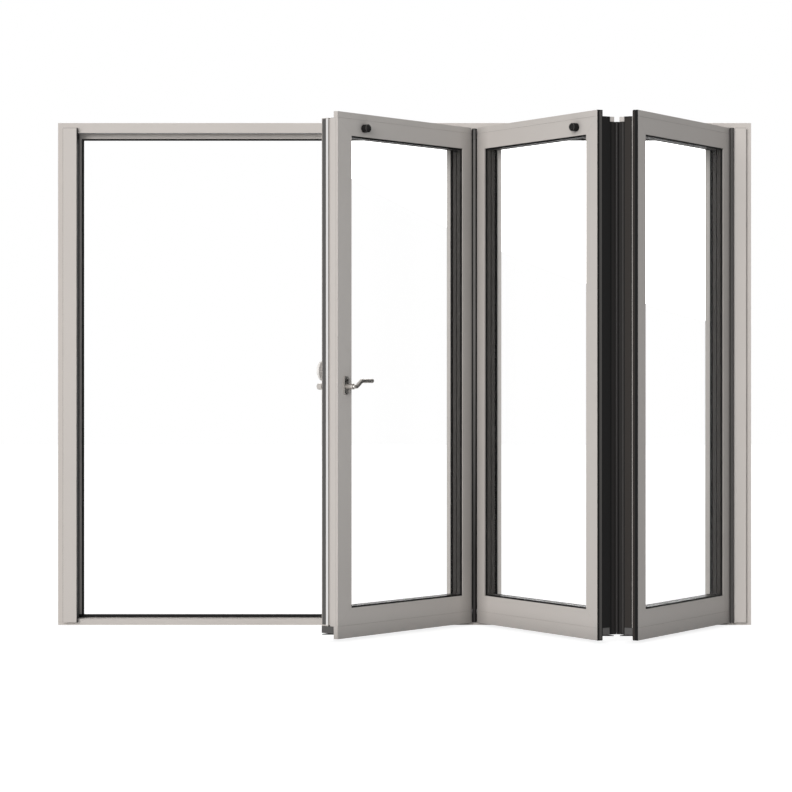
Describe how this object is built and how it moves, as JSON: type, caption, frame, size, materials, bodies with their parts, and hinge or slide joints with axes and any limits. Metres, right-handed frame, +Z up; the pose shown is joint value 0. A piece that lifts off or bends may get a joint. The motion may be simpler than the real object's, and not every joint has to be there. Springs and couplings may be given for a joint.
{
  "type": "folding door",
  "caption": "Glazed aluminium folding door shown partly open, its hinged leaves folding outwards to one side of the outer frame.",
  "frame": {"origin": "middle of the underside of the sill, half way through the depth of the outer frame", "axes": "+X to the right seen from outside, +Y into the building, +Z up; the leaves fold outwards, towards -Y, and stack at the +X jamb"},
  "size_m": [2.9, 0.8915, 2.1],
  "materials": {
    "frame_paint": "satin powder coat, warm light grey",
    "leaf_paint": "satin powder coat, warm light grey",
    "glass": "clear triple glazing",
    "black_rubber": "matt black seal",
    "spacer_bar": "dark grey warm-edge spacer",
    "grey_plastic": "dark grey plastic profile",
    "dark_hinge": "dark grey painted hinge",
    "carriage_steel": "dark zinc plated steel",
    "track_aluminium": "mill finish",
    "satin_nickel": "satin nickel"
  },
  "bodies": {
    "door": {"bottom_guide": "dark_hinge", "bottom_seal_carriers": "grey_plastic", "door_buffers": "black_rubber", "far_hinge": "dark_hinge", "frame_head": "frame_paint", "frame_left_jamb": "frame_paint", "frame_right_jamb": "frame_paint", "frame_sill": "frame_paint", "frame_weather_seals": "black_rubber", "glazing_gaskets": "black_rubber", "head_track": "track_aluminium", "inside_backplate": "satin_nickel", "jamb_hinge": "dark_hinge", "leaf_1_bottom_extension": "leaf_paint", "leaf_1_bottom_rail": "leaf_paint", "leaf_1_glass": "glass", "leaf_1_glazing_beads": "leaf_paint", "leaf_1_hinge_stile": "leaf_paint", "leaf_1_lock_stile": "leaf_paint", "leaf_1_top_rail": "leaf_paint", "leaf_2_bottom_extension": "leaf_paint", "leaf_2_bottom_rail": "leaf_paint", "leaf_2_glass": "glass", "leaf_2_glazing_beads": "leaf_paint", "leaf_2_left_stile": "leaf_paint", "leaf_2_right_stile": "leaf_paint", "leaf_2_top_rail": "leaf_paint", "leaf_3_bottom_extension": "leaf_paint", "leaf_3_bottom_rail": "leaf_paint", "leaf_3_glass": "glass", "leaf_3_glazing_beads": "leaf_paint", "leaf_3_left_stile": "leaf_paint", "leaf_3_right_stile": "leaf_paint", "leaf_3_top_rail": "leaf_paint", "leaf_edge_seals": "black_rubber", "leaf_top_covers": "leaf_paint", "left_jamb_adaptor": "frame_paint", "lock_edge_strip": "grey_plastic", "near_hinge": "dark_hinge", "outside_rose": "satin_nickel", "pane_spacers": "spacer_bar", "pull_knob": "satin_nickel", "right_jamb_adaptor": "frame_paint", "top_carriage": "carriage_steel"},
    "lever": {"lever_set": "satin_nickel"}
  },
  "joints": [
    {"name": "lever_turn", "type": "hinge", "parent": "door", "child": "lever", "pos_m": [-0.23091, -0.75427, 1], "axis": [-0.8007, 0.599, 0], "range_deg": [0, 45], "stiffness_Nm_per_rad": 1.5, "springref_deg": -28.65}
  ]
}
